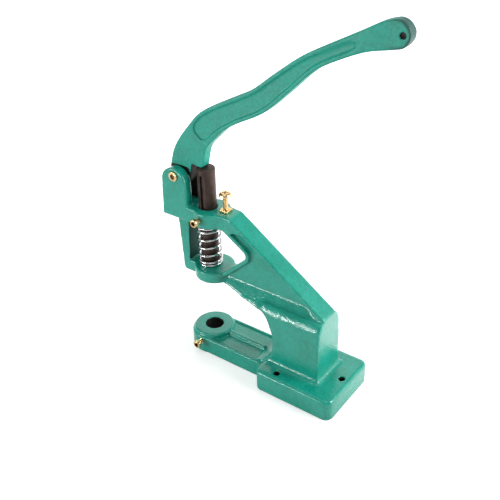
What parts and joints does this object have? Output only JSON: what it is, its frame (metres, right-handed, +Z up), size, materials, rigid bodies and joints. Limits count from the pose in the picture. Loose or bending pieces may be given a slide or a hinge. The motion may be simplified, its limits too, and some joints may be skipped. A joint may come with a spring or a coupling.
{
  "type": "eyelet machine",
  "caption": "Hand press for eyelets: cast C-frame on a bolt-down base, curved hand lever, and a spring-returned ram above a die socket in the arm.",
  "frame": {"origin": "press axis at the top face of the die boss, where the lower die stands", "axes": "+Z up along the ram and the die socket, +X from the press axis back to the column, Y across; the clamp and key screws are on the -Y side"},
  "size_m": [0.1921, 0.06, 0.2953],
  "materials": {
    "enamel": "gloss sea-green enamel over cast iron",
    "dark_steel": "oiled black-oxide steel",
    "spring_steel": "bright nickel plate",
    "yellow_zinc": "yellow passivated zinc plate"
  },
  "bodies": {
    "frame": {"frame_casting": "enamel", "pivot_bolt": "yellow_zinc", "pivot_washer": "yellow_zinc", "pivot_nut": "yellow_zinc", "stop_lock_nut": "yellow_zinc", "ram_key_screw": "yellow_zinc", "return_spring": "spring_steel"},
    "lever": {"hand_lever": "enamel"},
    "ram": {"ram": "dark_steel", "retaining_ring": "spring_steel", "spring_washer": "spring_steel"},
    "stop_screw": {"stop_screw": "yellow_zinc"},
    "die_clamp_screw": {"die_clamp_screw": "yellow_zinc"}
  },
  "joints": [
    {"name": "lever_hinge", "type": "hinge", "parent": "frame", "child": "lever", "pos_m": [-0.0223, 0, 0.1367], "axis": [0, 1, 0], "range_deg": [0, 54], "stiffness_Nm_per_rad": 2.4, "springref_deg": -25.21},
    {"name": "ram_slide", "type": "slide", "parent": "frame", "child": "ram", "axis": [0, 0, -1], "range_m": [0, 0.0214], "deforming": ["return_spring"]},
    {"name": "stop_height", "type": "slide", "parent": "frame", "child": "stop_screw", "axis": [0, 0, 1], "range_m": [-0.005, 0]},
    {"name": "clamp_feed", "type": "slide", "parent": "frame", "child": "die_clamp_screw", "axis": [0, 1, 0], "range_m": [-0.004, 0]}
  ],
  "couplings": [
    {"joint": "ram_slide", "follows": "lever_hinge", "m_per_rad": 0.0226}
  ]
}
